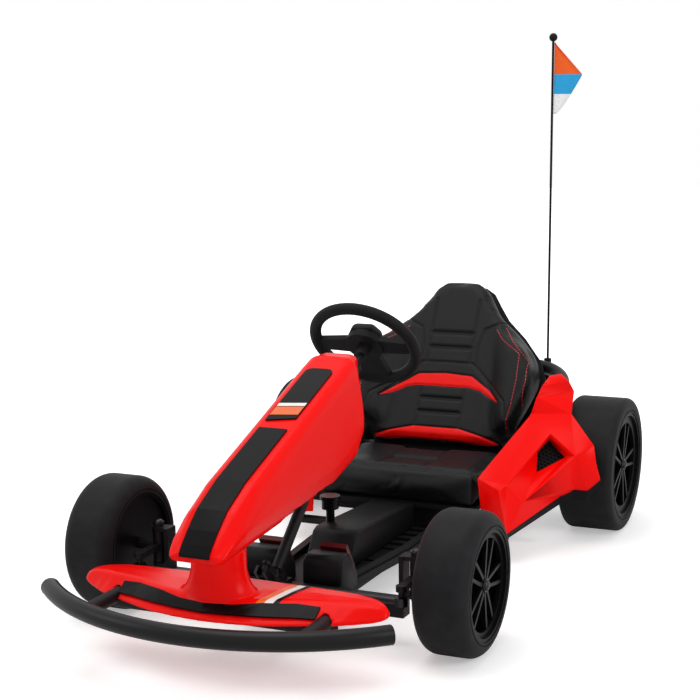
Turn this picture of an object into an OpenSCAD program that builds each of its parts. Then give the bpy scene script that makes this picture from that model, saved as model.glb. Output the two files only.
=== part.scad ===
// Child's ride-on electric drift kart: tube frame, moulded bodywork, four slick wheels.
// The kart points along -Y, the driver's left is +X, and the origin lies on the floor
// under the middle of its overall length. Positions along the kart are given from the
// front axle where a piece belongs to the front, and from the rear axle at the back.

/* [Overall] */
// Distance between the front and rear axles
wheelbase = 817; // [800:1:830]
// Distance from the foremost point of the bumper to the front axle
front_overhang = 381; // [376:1:390]

/* [Wheels] */
// Outer radius of a front tyre
front_tyre_r = 120; // [118:0.5:122]
// Width of a front tyre
front_tyre_w = 96; // [90:1:98]
// Half the width over the front tyres
front_half_track = 373; // [371:1:378]
// Outer radius of a rear tyre
rear_tyre_r = 139; // [136:0.5:141]
// Width of a rear tyre
rear_tyre_w = 114; // [108:1:116]
// Half the width over the rear tyres
rear_half_track = 389; // [387:1:394]
// Radius of the rounded shoulder of a front tyre
front_shoulder_r = 24; // [14:1:28]
// Radius of the rounded shoulder of a rear tyre
rear_shoulder_r = 13; // [8:1:20]
// Radius of the bead where a front tyre sits on its rim
front_bead_r = 92; // [88:1:94]
// Radius of the bead where a rear tyre sits on its rim
rear_bead_r = 109; // [104:1:112]
// Radius of the spoked opening of a front rim
front_opening_r = 77; // [72:1:80]
// Radius of the spoked opening of a rear rim
rear_opening_r = 87; // [82:1:92]
// Number of spoke pairs in a rim
spoke_pairs = 5; // [5:1:6]
// Depth of the spoked face behind the tyre's side
face_recess = 8; // [6:1:10]
// Radius of a wheel hub
hub_r = 17; // [15:1:20]

/* [Steering] */
// Radius of the steering wheel to the middle of its grip
wheel_ring_r = 97.5; // [92:0.5:100]
// Radius of the grip
wheel_grip_r = 11; // [9:0.5:12]
// Distance of the steering wheel's centre behind the front axle
wheel_behind_axle = 354.5; // [350:0.5:360]
// Height of the steering wheel's centre
wheel_height = 440; // [436:1:446]
// Lean of the steering column from upright
column_lean = 49; // [48:0.5:50]
// Length of the steering shaft
column_len = 518; // [516:1:520]
// Radius of the steering shaft
shaft_r = 6; // [5:0.5:6]
// Radius of the fixed tube round the shaft
jacket_r = 10; // [9:0.5:11]
// Length of the arm at the foot of the shaft
drop_arm = 39; // [37:1:41]
// Distance of a kingpin from the middle
kingpin_x = 245; // [243:1:247]
// Radius of a kingpin
kingpin_r = 6; // [5:0.5:7]
// Length of a knuckle's steering arm
knuckle_arm = 65; // [63:1:67]
// Height of the track rod
track_rod_z = 98; // [96:1:100]

/* [Frame] */
// Height of the underside of the frame rails
rail_bottom_z = 30; // [28:1:32]
// Height of a frame rail
rail_h = 20; // [18:1:22]
// Width of a frame rail
rail_w = 24; // [20:1:26]
// Distance of a frame rail's middle from the middle of the kart
rail_x = 58; // [56:1:60]
// Radius of the rear axle
axle_r = 8; // [7:0.5:9]
// Half width of the floor pan at the seat
pan_half_w = 103; // [98:1:106]
// Thickness of the floor pan
pan_t = 7; // [6:1:8]

/* [Bumper and wing] */
// Radius of the bumper tube
bumper_r = 15.5; // [14:0.5:16]
// Radius of the bumper's curve
bumper_bend = 440; // [430:1:460]
// Height of the bumper's middle
bumper_z = 110; // [108:1:112]
// Half the angle of the bumper's curve
bumper_half_angle = 43.5; // [42:0.5:45]
// Half the width of the front wing
wing_half_w = 272; // [266:1:276]
// Height of the top of the front wing
wing_top_z = 135; // [134:1:138]
// Height of the underside of the front wing
wing_bottom_z = 104; // [102:1:106]

/* [Nose cone] */
// Slope of the top of the nose cone
nose_slope = 20.4; // [20:0.1:20.8]
// Half the width of the nose cone's flat top
nose_top_w = 36; // [34:1:38]
// Height of the front edge of the nose cone's top
nose_front_z = 254; // [252:1:256]
// Wall of the moulded nose cone
nose_wall = 5; // [4:0.5:6]

/* [Seat] */
// Half the width of the seat cushion
seat_half_w = 165; // [160:1:168]
// Height of the underside of the seat cushion
seat_bottom_z = 104; // [102:1:106]
// Height of the front edge of the seat cushion
seat_front_z = 172; // [168:1:176]
// Lean of the seat's back from upright
back_lean = 29.5; // [28:0.5:30.5]
// Thickness of the back cushion
back_t = 45; // [42:1:48]
// How far the side bolsters stand out of the back
bolster = 46; // [40:1:50]

/* [Rear hoop and flag] */
// Radius of the hoop tube
hoop_r = 14; // [12:0.5:15]
// Bend radius of the hoop's corners
hoop_bend = 100; // [95:1:105]
// Height of the hoop's middle behind the seat
hoop_z = 325; // [322:1:330]
// Height of the top of the flag pole
pole_top_z = 1013; // [980:1:1030]
// Radius of the flag pole
pole_r = 2.5; // [2:0.1:3]

/* [Hidden] */

$fn = 48;
seat_gap = 0.3;
run_gap = 0.05;
eps = 0.01;

red = "#e0201c";
black = "#1c1c1e";
gloss_black = "#0c0c0e";
steel = "#2a2a2c";

length = front_overhang + wheelbase + rear_tyre_r;
front_y = front_overhang - length / 2;
rear_y = front_y + wheelbase;
front_z = front_tyre_r;
rear_z = rear_tyre_r;
rail_top_z = rail_bottom_z + rail_h;
pan_top_z = rail_top_z + pan_t;

// Turns what is drawn along Z to lie along X.
module along_x() {
    rotate([0, 90, 0]) children();
}

// Turns what is drawn along Z to lie along Y.
module along_y() {
    rotate([-90, 0, 0]) children();
}

// Puts what is drawn for the left side on the side given, 1 left or -1 right.
module on_side(side) {
    if (side > 0) children();
    else mirror([1, 0, 0]) children();
}

// A solid through rings of equal numbers of points, closed at both ends.
module skin(rings) {
    n = len(rings[0]);
    last = len(rings) - 1;
    walls = [
        for (i = [0 : last - 1], j = [0 : n - 1])
            let (a = i * n + j, b = i * n + (j + 1) % n)
                each [[a, b, b + n], [a, b + n, a + n]]
    ];
    caps = [[for (j = [n - 1 : -1 : 0]) j], [for (j = [0 : n - 1]) last * n + j]];
    polyhedron(points = [for (r = rings) each r], faces = concat(walls, caps), convexity = 6);
}

/* Wheels. A wheel is drawn with its outer face towards +Z. */

// Tyre: a slick with rounded shoulders and a groove round each side wall.
module tyre(r, w, bead_r, shoulder_r) {
    groove_w = 2.5;
    groove_d = 2;
    along_x() rotate_extrude($fn = 96) difference() {
        union() {
            translate([bead_r, shoulder_r - w / 2])
                square([r - bead_r, w - 2 * shoulder_r]);
            translate([bead_r, -w / 2])
                square([r - shoulder_r - bead_r, w]);
            for (s = [-1, 1])
                translate([r - shoulder_r, s * (w / 2 - shoulder_r)])
                    circle(shoulder_r);
        }
        for (s = [-1, 1])
            translate([bead_r + 2 * groove_w, s * w / 2])
                square([groove_w, 2 * groove_d], center = true);
        translate([0, -w]) square([bead_r, 2 * w]);
    }
}

// Rim: barrel, closed inner web, hub with a blind bore, and slim spokes in V pairs.
module rim(w, bead_r, opening_r, bore_r, hub_back, bore_depth) {
    barrel_t = 6;
    spoke_t = 8;
    web_t = 6;
    spoke_sink = 1;
    spoke_foot = 5;
    spoke_tip = 14;
    outer_r = bead_r - 0.2;
    mid_r = outer_r - barrel_t / 2;
    half = w / 2 - 2;
    face = w / 2 - face_recess;
    along_x() difference() {
        union() {
            difference() {
                translate([0, 0, -half]) cylinder(r = outer_r, h = 2 * half, $fn = 96);
                translate([0, 0, -half - 1])
                    cylinder(r = outer_r - barrel_t, h = 2 * half + 2, $fn = 96);
            }
            difference() {
                translate([0, 0, face - spoke_t])
                    cylinder(r = mid_r, h = spoke_t, $fn = 96);
                translate([0, 0, face - spoke_t - 1])
                    cylinder(r = opening_r, h = spoke_t + 2, $fn = 96);
            }
            translate([0, 0, -w / 2 + hub_back]) cylinder(r = mid_r, h = web_t, $fn = 96);
            translate([0, 0, -w / 2 + hub_back])
                cylinder(r = hub_r, h = face - 2 + w / 2 - hub_back);
            for (i = [0 : spoke_pairs - 1], s = [-1, 1])
                rotate(i * 360 / spoke_pairs + 90)
                    translate([0, 0, face - spoke_t + spoke_sink])
                        linear_extrude(spoke_t - 2 * spoke_sink) polygon([
                            [hub_r - 5, s * 2],
                            [hub_r - 5, s * 8],
                            [opening_r * 0.6, s * (spoke_foot + 9)],
                            [opening_r + 3, s * (spoke_foot + spoke_tip)],
                            [opening_r + 3, s * (spoke_foot + spoke_tip - 6)],
                            [opening_r * 0.6, s * (spoke_foot + 3)]
                        ]);
        }
        translate([0, 0, -w / 2 - 1]) cylinder(r = bore_r, h = bore_depth + 1);
    }
}

front_wheel_x = front_half_track - front_tyre_w / 2;
rear_wheel_x = rear_half_track - rear_tyre_w / 2;
hub_inset = 8;
stub_r = 6;
front_bore_depth = front_tyre_w - 18;
rear_bore_depth = rear_tyre_w - 18;

module at_front_wheel(side) {
    on_side(side) translate([front_wheel_x, front_y, front_z]) children();
}

module at_rear_wheel(side) {
    on_side(side) translate([rear_wheel_x, rear_y, rear_z]) children();
}

module front_tyre(side) {
    color(black) at_front_wheel(side)
        tyre(front_tyre_r, front_tyre_w, front_bead_r, front_shoulder_r);
}

module rear_tyre(side) {
    color(black) at_rear_wheel(side)
        tyre(rear_tyre_r, rear_tyre_w, rear_bead_r, rear_shoulder_r);
}

module front_rim(side) {
    color(gloss_black) at_front_wheel(side)
        rim(front_tyre_w, front_bead_r, front_opening_r, stub_r + run_gap, hub_inset,
            front_bore_depth);
}

module rear_rim(side) {
    color(gloss_black) at_rear_wheel(side)
        rim(rear_tyre_w, rear_bead_r, rear_opening_r, axle_r + run_gap, hub_inset,
            rear_bore_depth);
}

/* Front axle. The beam ends in yokes that hold the kingpins. */

sleeve_r = 11;
sleeve_h = 56;
lug_t = 7;
yoke_gap = 1;
beam_h = 30;
beam_d = 28;
yoke_x = kingpin_x - 18;
yoke_t = 8;
beam_top_z = rail_top_z + beam_h;
lug_top = sleeve_h / 2 + yoke_gap + lug_t;

module front_beam() {
    color(steel) {
        translate([-yoke_x, front_y - beam_d / 2, rail_top_z])
            cube([2 * yoke_x, beam_d, beam_h]);
        for (side = [-1, 1])
            on_side(side) translate([0, front_y, 0]) {
                translate([yoke_x - yoke_t, -beam_d / 2, rail_top_z])
                    cube([yoke_t, beam_d, front_z + lug_top - rail_top_z]);
                for (z = [front_z - lug_top, front_z + lug_top - lug_t]) {
                    translate([kingpin_x, 0, z]) cylinder(r = sleeve_r + 1, h = lug_t);
                    translate([yoke_x - yoke_t, -sleeve_r - 1, z])
                        cube([kingpin_x - yoke_x + yoke_t, 2 * sleeve_r + 2, lug_t]);
                }
                translate([kingpin_x, 0, front_z - lug_top - 5])
                    cylinder(r = kingpin_r, h = 2 * lug_top + 10);
                translate([kingpin_x, 0, front_z + lug_top])
                    cylinder(r = kingpin_r + 3, h = 7);
                translate([kingpin_x, 0, front_z - lug_top - 5])
                    cylinder(r = kingpin_r + 3, h = 5);
            }
    }
}

pin_r = 5;
stub_end_x = front_wheel_x - front_tyre_w / 2 + front_bore_depth - 3;
stub_collar_x = front_wheel_x - front_tyre_w / 2 + hub_inset - 1;

module knuckle(side) {
    arm_w = 14;
    arm_t = 10;
    color(steel) on_side(side) translate([kingpin_x, front_y, front_z]) difference() {
        union() {
            translate([0, 0, -sleeve_h / 2]) cylinder(r = sleeve_r, h = sleeve_h);
            along_x() cylinder(r = stub_r, h = stub_end_x - kingpin_x);
            along_x() cylinder(r = stub_r + 4, h = stub_collar_x - kingpin_x);
            translate([-arm_w / 2, -knuckle_arm, -arm_t / 2])
                cube([arm_w, knuckle_arm, arm_t]);
            translate([0, -knuckle_arm, -arm_t / 2]) cylinder(r = arm_w / 2 + 2, h = arm_t);
            translate([0, -knuckle_arm, track_rod_z - front_z - 11])
                cylinder(r = pin_r, h = front_z - track_rod_z + 11);
        }
        translate([0, 0, -sleeve_h / 2 - 1])
            cylinder(r = kingpin_r + run_gap, h = sleeve_h + 2);
    }
}

/* Steering column, drawn in the steering wheel's own frame, +Z towards the driver. */

wheel_y = front_y + wheel_behind_axle;

module at_column() {
    translate([0, wheel_y, wheel_height]) rotate([-column_lean, 0, 0]) children();
}

spoke_half_h = 17;

module steering_rim() {
    plate_r = 36;
    color(black) at_column() {
        rotate_extrude($fn = 96) translate([wheel_ring_r, 0]) circle(wheel_grip_r, $fn = 32);
        translate([0, 0, -8]) cylinder(r = plate_r, h = 14);
        for (s = [-1, 1])
            translate([0, 0, -5]) linear_extrude(11) polygon([
                [s * (plate_r - 8), -spoke_half_h],
                [s * (wheel_ring_r - 4), -spoke_half_h + 6],
                [s * (wheel_ring_r - 4), spoke_half_h - 2],
                [s * (plate_r - 8), spoke_half_h + 2]
            ]);
        translate([0, 0, -5]) linear_extrude(11) polygon([
            [-20, plate_r - 12], [20, plate_r - 12],
            [30, wheel_ring_r - 5], [-30, wheel_ring_r - 5]
        ]);
    }
}

// Six-sided horn pad on the wheel's centre.
module steering_pad() {
    color(black) at_column() translate([0, 0, 6 + eps]) skin([
        for (s = [[0, 1], [14, 0.96], [22, 0.72]])
            [for (p = [[34, -14], [20, -36], [-20, -36], [-34, -14], [-26, 30], [26, 30]])
                [p.x * s[1], p.y * s[1], s[0]]]
    ]);
}

arm_t = 6;

module steering_shaft() {
    color(steel) at_column() {
        translate([0, 0, -column_len]) cylinder(r = shaft_r, h = column_len - 8);
        translate([0, 0, -30]) cylinder(r = jacket_r + 3, h = 22);
        translate([-7, -drop_arm, -column_len]) cube([14, drop_arm, arm_t]);
        translate([0, 0, -column_len]) cylinder(r = jacket_r, h = arm_t);
        translate([0, -drop_arm, -column_len]) cylinder(r = 7, h = arm_t);
        translate([0, -drop_arm, -column_len - 22]) cylinder(r = 4, h = 22 + arm_t);
    }
}

jacket_top = 60;
hanger_behind_axle = 135;

// Fixed tube round the shaft, its strut on the front beam and its hanger in the nose cone.
module column_jacket() {
    foot_w = 22;
    foot_t = 8;
    strut_s = column_len - 40;
    strut_run = wheel_y - strut_s * sin(column_lean) - front_y;
    strut_rise = wheel_height - strut_s * cos(column_lean) - beam_top_z - foot_t / 2;
    hanger_w = 20;
    hanger_t = 12;
    hanger_y = front_y + hanger_behind_axle;
    hanger_base = wheel_height - (wheel_y - hanger_y) / tan(column_lean);
    color(steel) difference() {
        union() {
            at_column() translate([0, 0, -column_len + 16])
                cylinder(r = jacket_r, h = column_len - 16 - jacket_top);
            translate([-foot_w / 2, front_y - foot_w / 2, beam_top_z])
                cube([foot_w, foot_w, foot_t]);
            translate([0, front_y, beam_top_z + foot_t / 2])
                rotate([-atan2(strut_run, strut_rise), 0, 0])
                    cylinder(r = 7, h = norm([strut_run, strut_rise]));
            translate([-hanger_w / 2, hanger_y - hanger_t / 2, hanger_base])
                cube([hanger_w, hanger_t, nose_roof(hanger_y - hanger_t / 2) - nose_wall
                    / cos(nose_slope) - seat_gap - hanger_base]);
        }
        at_column() translate([0, 0, -column_len - 40])
            cylinder(r = shaft_r + run_gap, h = column_len + 50);
        at_column() translate([-30, -80, -column_len - 60])
            cube([60, 96, 60 + 16]);
    }
}

track_rod_y = front_y - knuckle_arm;

// Track rod with an eye at each end and a fork that the drop arm's pin moves.
module track_rod() {
    rod_r = 6;
    eye_r = 11;
    eye_h = 14;
    open_gap = 1;
    prong_t = 5;
    prong_in = 5.5;
    rod_s = (wheel_y - track_rod_y) * sin(column_lean)
        + (wheel_height - track_rod_z) * cos(column_lean);
    prong_low = max(rod_s, column_len + 22);
    prong_high = min(rod_s, column_len + 8);
    color(steel) difference() {
        union() {
            translate([-kingpin_x, track_rod_y, track_rod_z])
                along_x() cylinder(r = rod_r, h = 2 * kingpin_x);
            for (s = [-1, 1])
                translate([s * kingpin_x, track_rod_y, track_rod_z - eye_h / 2])
                    cylinder(r = eye_r, h = eye_h);
            at_column() for (s = [-1, 1])
                translate([s * (prong_in + prong_t / 2) - prong_t / 2, -drop_arm - 11, -prong_low])
                    cube([prong_t, drop_arm - 1, prong_low - prong_high]);
        }
        translate([kingpin_x, track_rod_y, track_rod_z - eye_h])
            cylinder(r = pin_r + run_gap, h = 2 * eye_h);
        translate([-kingpin_x, track_rod_y, track_rod_z - eye_h])
            cylinder(r = pin_r + open_gap, h = 2 * eye_h);
    }
}

/* Frame under the floor. */

seat_front_y = rear_y - 327;
outrigger_y = [rear_y - 303, rear_y - 160];
outrigger_r = 9;
rail_end_y = rear_y + 82;
hoop_y = rear_y + 70;
stay_x = 90;
stay_r = 9;

module frame_rails() {
    upright_t = 12;
    tab_t = 6;
    color(steel) difference() {
        union() {
            for (s = [-1, 1]) {
                translate([s * rail_x - rail_w / 2, front_y - beam_d / 2, rail_bottom_z])
                    cube([rail_w, rail_end_y - front_y + beam_d / 2, rail_h]);
                translate([s * rail_x - upright_t / 2, rear_y - 26, rail_top_z])
                    cube([upright_t, 52, rear_z - rail_top_z]);
                translate([s * rail_x - upright_t / 2, rear_y, rear_z])
                    along_x() cylinder(r = 26, h = upright_t);
                translate([s * pod_tab_x - tab_t / 2, outrigger_y[0] - 10, outrigger_z()])
                    cube([tab_t, 20, pod_tab_h]);
            }
            for (y = outrigger_y)
                translate([-(pod_tab_x - 3), y, outrigger_z()])
                    along_x() cylinder(r = outrigger_r, h = 2 * (pod_tab_x - 3));
            translate([-120, rail_end_y - rail_w, rail_bottom_z])
                cube([240, rail_w, rail_h]);
        }
        translate([-rail_x - rail_w, rear_y, rear_z])
            along_x() cylinder(r = axle_r + seat_gap / 2, h = 2 * (rail_x + rail_w));
    }
}

function outrigger_z() = rail_bottom_z + rail_h / 2;
pod_tab_x = 226;
pod_tab_h = 34;

// Outline of the floor tray, drawn in from its edge by an inset.
module pan_shape(inset, reach) {
    front_w = pan_half_w - 31 - inset;
    back_w = pan_half_w - inset;
    front = front_y + beam_d / 2 + seat_gap - reach;
    waist = front_y + 320;
    back = seat_front_y - 6 + reach;
    polygon([
        [-front_w, front], [front_w, front], [back_w, waist],
        [back_w, back], [-back_w, back], [-back_w, waist]
    ]);
}

// Moulded floor tray with raised side rails, cross ribs and drain slots.
module floor_pan() {
    side_w = 15;
    side_h = 19;
    slot_x = 27;
    slot_len = pan_half_w - 54;
    color(black) translate([0, 0, rail_top_z + eps]) difference() {
        union() {
            linear_extrude(pan_t) pan_shape(0, 0);
            linear_extrude(side_h) difference() {
                pan_shape(0, 0);
                pan_shape(side_w, 1);
            }
            linear_extrude(side_h - 5) difference() {
                pan_shape(-4, 0);
                pan_shape(side_w, 1);
            }
            for (s = [-1, 1], i = [0 : 3])
                translate([s * (console_half_w + 20) - 18, seat_front_y - 36 - 34 * i, pan_t - 1])
                    cube([36, 12, 6]);
        }
        translate([-2 * pan_half_w, front_y, pan_t])
            cube([4 * pan_half_w, pedal_foot + seat_gap, side_h]);
        for (s = [-1, 1], y = [front_y + 243, front_y + 323])
            on_side(s) translate([slot_x, y, -1]) {
                translate([0, -6, 0]) cube([slot_len, 12, pan_t + 2]);
                cylinder(r = 6, h = pan_t + 2);
                translate([slot_len, 0, 0]) cylinder(r = 6, h = pan_t + 2);
            }
    }
}

module battery_box() {
    box_w = 190;
    box_d = 168;
    color(black) translate([-box_w / 2, seat_front_y + 12, rail_top_z + eps])
        cube([box_w, box_d, seat_bottom_z - shell_t - seat_gap - rail_top_z - eps]);
}

console_half_w = 46;
console_top_z = 120;

// Tunnel between the driver's legs, sloped at the front.
module console() {
    color(black) translate([-console_half_w, 0, 0]) rotate([90, 0, 90])
        linear_extrude(2 * console_half_w) polygon([
            [front_y + 172, pan_top_z + eps],
            [front_y + 208, console_top_z - 6],
            [front_y + 222, console_top_z],
            [seat_front_y - 8, console_top_z - 14],
            [seat_front_y - 8, pan_top_z + eps]
        ]);
}

knob_x = -34;
knob_y = front_y + 262;

// Selector knob on the tunnel, with its bright collar.
module selector_knob() {
    base_z = console_top_z - 14 * (knob_y - front_y - 222) / (seat_front_y - 230 - front_y);
    color(gloss_black) translate([knob_x, knob_y, base_z + 1]) {
        cylinder(r = 8, h = 28);
        translate([0, 0, 24]) cylinder(r = 16, h = 18);
        translate([0, 0, 42]) cylinder(r = 19, h = 7);
    }
}

pedal_x = 60;
pedal_half_w = 36;
pedal_foot = 116;

module pedal_housings() {
    color(black) for (s = [-1, 1])
        translate([s * pedal_x - pedal_half_w, 0, 0]) rotate([90, 0, 90])
            linear_extrude(2 * pedal_half_w) polygon([
                [front_y + 22, pan_top_z + eps],
                [front_y + 24, 112],
                [front_y + 36, 126],
                [front_y + 66, 126],
                [front_y + 98, 84],
                [front_y + 98, pan_top_z + eps]
            ]);
}

// Brake and throttle pedals, hinged at the floor behind their housings.
module pedals() {
    plate_half_w = 25;
    color("#5a1a1c") for (s = [-1, 1])
        translate([s * pedal_x - plate_half_w, 0, 0]) rotate([90, 0, 90])
            linear_extrude(2 * plate_half_w) polygon([
                [front_y + 98 + seat_gap, pan_top_z + eps],
                [front_y + 98 + seat_gap, 88],
                [front_y + 72, 130],
                [front_y + 79, 136],
                [front_y + 108, 90],
                [front_y + pedal_foot, pan_top_z + eps]
            ]);
}

/* Rear axle and drive. */

drive_out = rear_wheel_x - rear_tyre_w / 2 - 13;
case_in = drive_out - 47;
motor_in = case_in - 40;
motor_behind = 72;

module rear_axle() {
    color(steel) translate([-rear_axle_end, rear_y, rear_z])
        along_x() cylinder(r = axle_r, h = 2 * rear_axle_end);
}

rear_axle_end = rear_wheel_x - rear_tyre_w / 2 + rear_bore_depth - 3;

// A gearbox round the axle beside each wheel, with its motor behind it.
module drive_units() {
    case_r = 46;
    motor_case_r = 36;
    motor_r = 31;
    color(black) for (side = [-1, 1])
        on_side(side) translate([0, rear_y, rear_z]) difference() {
            union() {
                translate([case_in, 0, 0]) along_x()
                    cylinder(r = case_r, h = drive_out - case_in);
                translate([case_in, motor_behind, 0]) along_x()
                    cylinder(r = motor_case_r, h = drive_out - case_in);
                translate([case_in, 0, -motor_case_r])
                    cube([drive_out - case_in, motor_behind, 2 * motor_case_r]);
                translate([motor_in, motor_behind, 0]) along_x()
                    cylinder(r = motor_r, h = case_in - motor_in + 5);
            }
            translate([case_in - 1, 0, 0]) along_x()
                cylinder(r = axle_r + seat_gap / 2, h = drive_out - case_in + 2);
        }
}

/* Bumper and front wing. */

bumper_y = front_y - front_overhang + bumper_r;

module bumper_curve(r) {
    translate([0, bumper_y + bumper_bend, bumper_z])
        rotate([0, 0, -90 - bumper_half_angle])
            rotate_extrude(angle = 2 * bumper_half_angle, $fn = 128)
                translate([bumper_bend, 0]) circle(r, $fn = 40);
}

module bumper_bar() {
    color(black) bumper_curve(bumper_r);
}

stub_x = 186;
stub_y = bumper_y + bumper_bend - sqrt(pow(bumper_bend, 2) - pow(stub_x, 2));
stub_z = bumper_z - 4;
stub_tube_r = 12;
cross_y = front_y - 212;
cross_r = 12;

// Tubes that carry the wing and the bumper in front of the axle beam.
module front_subframe() {
    strut_run = front_y - beam_d / 2 - cross_y;
    cross_z = wing_bottom_z - cross_r - seat_gap;
    strut_z = rail_top_z + 12;
    strut_rise = cross_z - strut_z;
    color(steel) difference() {
        union() {
            translate([-stub_x - 10, cross_y, cross_z])
                along_x() cylinder(r = cross_r, h = 2 * stub_x + 20);
            for (s = [-1, 1]) {
                translate([s * rail_x, cross_y, cross_z])
                    rotate([-90 - atan2(strut_rise, strut_run), 0, 0])
                        cylinder(r = 9, h = norm([strut_run, strut_rise]) - 3);
                translate([s * stub_x, stub_y, stub_z])
                    along_y() cylinder(r = stub_tube_r, h = cross_y - stub_y);
                translate([s * stub_x - 8, cross_y - cross_r, cross_z])
                    cube([16, 2 * cross_r, stub_z - cross_z]);
            }
            translate([-rail_x - 14, front_y - beam_d / 2 - 5 - seat_gap, rail_top_z])
                cube([2 * rail_x + 28, 5, beam_h]);
        }
        bumper_curve(bumper_r + seat_gap);
    }
}

// Stations of the wing: share of its half width; distance of the front edge, the crease
// and the rear edge from the front axle; how far the top lies below the middle's and the
// underside above it.
WING = [
    [0, -290.5, -258.5, -137.5, 0, 0],
    [0.331, -279.5, -242.5, -141, 0, 0],
    [0.518, -260.5, -219.5, -141.5, 0.5, 0],
    [0.765, -232, -202, -143.5, 1.5, 0],
    [0.901, -208, -191, -153, 3.5, 1],
    [0.963, -197, -187, -164, 7, 3],
    [1, -189, -185, -175, 14, 7]
];
// Share of the slope from crease to front edge taken by the strip, by share of half width.
STRIP_TOP = [[0, 0.24], [0.15, 0.22], [0.331, 0.06], [0.518, 0.1], [0.65, 0.2]];
STRIP_LOW = [[0, 0.64], [0.331, 0.63], [0.518, 0.68], [0.65, 0.74]];
strip_reach = 0.65;

// A row of a table part of the way on from row i, on a smooth curve through the rows.
function smooth_row(T, i, f) =
    let (
        b = T[i],
        c = T[min(i + 1, len(T) - 1)],
        a = i > 0 ? T[i - 1] : [for (k = [0 : len(c) - 1]) k == 0 ? -c[k] : c[k]],
        d = T[min(i + 2, len(T) - 1)]
    )
    b + (c - a) * f / 2 + (2 * a - 5 * b + 4 * c - d) * f * f / 2
        + (3 * b - a - 3 * c + d) * f * f * f / 2;

wing_rows = concat(
    [for (i = [0 : len(WING) - 2], f = [0, 0.5]) smooth_row(WING, i, f)],
    [WING[len(WING) - 1]]
);

function wing_ring(s, side) =
    let (
        x = side * s[0] * wing_half_w,
        front = front_y + s[1],
        crease = front_y + s[2],
        rear = front_y + s[3],
        depth = rear - crease,
        top = wing_top_z - s[4],
        low = wing_bottom_z + s[5]
    )
    [
        [x, front + 0.3 * (crease - front), low], [x, front, low + 2],
        [x, crease, top - 4], [x, crease + min(7, 0.3 * depth), top - 1],
        [x, crease + 0.55 * depth, top], [x, rear - min(5, 0.2 * depth), top - 1.5],
        [x, rear, top - min(9, (top - low) / 2)], [x, rear - min(3, 0.2 * depth), low]
    ];

// A point on the front slope of the wing, share 0 at the crease and 1 at the front edge.
function on_slope(s, side, share) =
    let (r = wing_ring(s, side)) r[2] + share * (r[1] - r[2]);

// The rows of a table for the right side, then for the left, each with its side.
function both_sides(rows) = concat(
    [for (i = [len(rows) - 1 : -1 : 1]) [rows[i], -1]],
    [for (s = rows) [s, 1]]
);

neck_y = front_y - 218;

// Stations of the neck that carries the nose cone: height, half width, half depth.
NECK = [
    [-8, 74, 46],
    [-1, 66, 43],
    [5, 59, 41],
    [12, 54, 39.5],
    [22, 49.5, 38.5],
    [36, 46, 38],
    [100, 45, 38]
];

module front_wing() {
    neck_sides = 28;
    color(red) difference() {
        union() {
            skin([for (e = both_sides(wing_rows)) wing_ring(e[0], e[1])]);
            skin([for (n = NECK) [for (k = [0 : neck_sides - 1])
                let (a = -360 * k / neck_sides)
                    [n[1] * cos(a), neck_y + n[2] * sin(a), wing_top_z + n[0]]]]);
        }
        nose_body(seat_gap);
        for (s = [-1, 1])
            translate([s * stub_x, bumper_y - 20, stub_z])
                along_y() cylinder(r = stub_tube_r + seat_gap, h = cross_y - bumper_y + 20.5);
        for (s = [-1, 1])
            translate([s * stub_x - 8 - seat_gap, cross_y - cross_r - seat_gap, wing_bottom_z - 5])
                cube([16 + 2 * seat_gap, 2 * (cross_r + seat_gap), stub_z - wing_bottom_z + 5.5]);
    }
}

// Gloss trim along the front slope of the wing.
module wing_strip() {
    outward = [0, -0.57, 0.82];
    strip_t = 3;
    strip_gap = 1.6;
    rows = [for (s = wing_rows) if (s[0] < strip_reach) s];
    color(gloss_black) skin([for (e = both_sides(rows))
        let (
            a = on_slope(e[0], e[1], lookup(e[0][0], STRIP_TOP)) + strip_gap * outward,
            b = on_slope(e[0], e[1], lookup(e[0][0], STRIP_LOW)) + strip_gap * outward
        )
            [b, b + strip_t * outward, a + strip_t * outward, a]
    ]);
}

/* Nose cone: a hollow fairing over the steering column, open below at the back. */

nose_top_y = front_y - 287.5;

function nose_roof(y) = nose_front_z + (y - nose_top_y) * tan(nose_slope);

// Stations: distance behind the front axle, half width of the top, roof height or 0 where
// it follows the slope, half width and height of the widest line, and of the lower edge.
NOSE = [
    [-291, 27, 211, 46, 206, 40, 198],
    [-281, 31, 223, 52, 213, 44, 196],
    [-262, 33.5, 241, 56, 225, 48, 198],
    [-232, 35, 266, 59, 234, 50, 203],
    [-170, 36, 0, 60, 240, 50, 208],
    [-30, 36, 0, 62, 252, 54, 222],
    [88, 36, 0, 64, 266, 58, 236],
    [178, 36, 0, 64, 292, 60, 264],
    [208, 35, 0, 63, 330, 61, 300],
    [238, 20, 441, 36, 436, 32, 428]
];
cheek = 13;

// Three points that round a corner p between its neighbours a and b.
function round_corner(a, p, b, r) =
    let (
        u = a - p, v = b - p,
        s = p + u * min(r / norm(u), 0.45),
        e = p + v * min(r / norm(v), 0.45)
    )
    [s, (s + 2 * p + e) / 4, e];

function nose_ring(s, y, wall, floor_drop) =
    let (
        top = (s[2] == 0 ? nose_roof(y) : s[2]) - wall * 1.07,
        w = s[1] * nose_top_w / 36,
        shoulder = min(w + cheek, s[3] - 2) - wall,
        shoulder_z = max(top - 10, s[4] + 2),
        low = s[6] - floor_drop,
        corners = [
            [wall / 2 - w, y, top], [-shoulder, y, shoulder_z],
            [wall - s[3], y, s[4]], [wall - s[5], y, low],
            [s[5] - wall, y, low], [s[3] - wall, y, s[4]],
            [shoulder, y, shoulder_z], [w - wall / 2, y, top]
        ],
        bends = [6, 14, 24, 12, 12, 24, 14, 6],
        n = len(corners)
    )
    [
        for (k = [0 : n - 1])
            each round_corner(corners[(k + n - 1) % n], corners[k], corners[(k + 1) % n], bends[k])
    ];

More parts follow.
